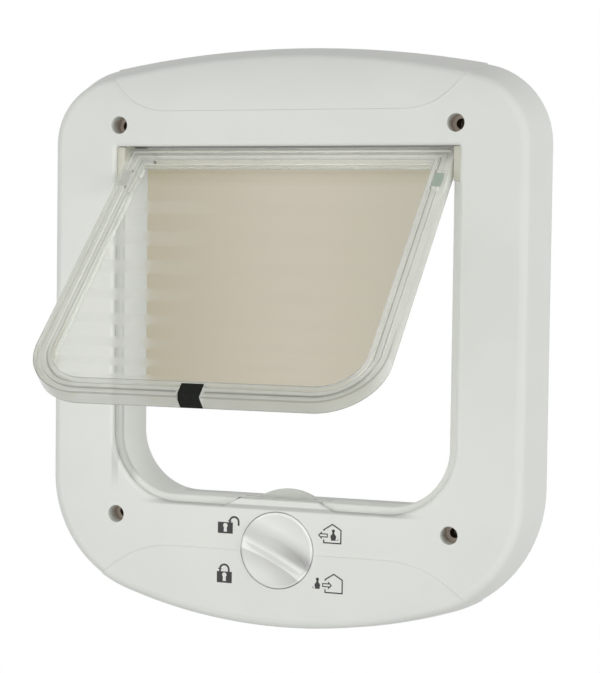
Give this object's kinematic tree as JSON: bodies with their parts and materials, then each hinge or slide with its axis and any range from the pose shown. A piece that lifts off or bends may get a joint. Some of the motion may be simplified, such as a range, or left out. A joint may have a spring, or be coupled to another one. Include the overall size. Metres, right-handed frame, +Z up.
{
  "type": "cat flap",
  "caption": "White arched door frame for a cat flap, with a clear swinging flap hung in a short tunnel and a round lock knob below the sill.",
  "frame": {"origin": "centre of the four fixing screws, on the face that rests against the door", "axes": "+X to the right seen from the room, +Y from the room into the door, +Z up"},
  "size_m": [0.2264, 0.1293, 0.2518],
  "materials": {
    "white_frame": "satin white moulded plastic",
    "white_liner": "satin white moulded plastic",
    "white_knob": "satin white moulded plastic",
    "grey_block": "matt grey plastic",
    "clear_flap": "polished clear plastic",
    "grey_plug": "glossy grey-green plastic",
    "magnet_black": "black coated magnet",
    "steel": "plain steel"
  },
  "bodies": {
    "frame": {"front_frame": "white_frame", "tunnel_liner": "white_liner", "liner_screws": "steel", "hinge_block_left": "grey_block", "hinge_block_right": "grey_block", "hinge_block_screws": "steel", "frame_magnet": "magnet_black", "magnet_cap": "white_liner", "lock_cover": "white_liner", "lock_cover_screws": "steel", "detent_spring": "steel"},
    "flap": {"flap_panel": "clear_flap", "flap_magnet": "magnet_black", "hinge_pin_left": "steel", "hinge_pin_right": "steel", "corner_plug_left": "grey_plug", "corner_plug_right": "grey_plug"},
    "knob": {"lock_knob": "white_knob", "rear_lock_disc": "white_liner", "knob_washer": "steel", "knob_screw": "steel"}
  },
  "joints": [
    {"name": "flap_swing", "type": "hinge", "parent": "frame", "child": "flap", "pos_m": [0, -0.009, 0.0712], "axis": [-1, 0, 0], "range_deg": [-131.9, 38.1]},
    {"name": "knob_turn", "type": "hinge", "parent": "frame", "child": "knob", "pos_m": [0, -0.018, -0.0968], "axis": [0, -1, 0], "range_deg": [-180, 50]}
  ]
}
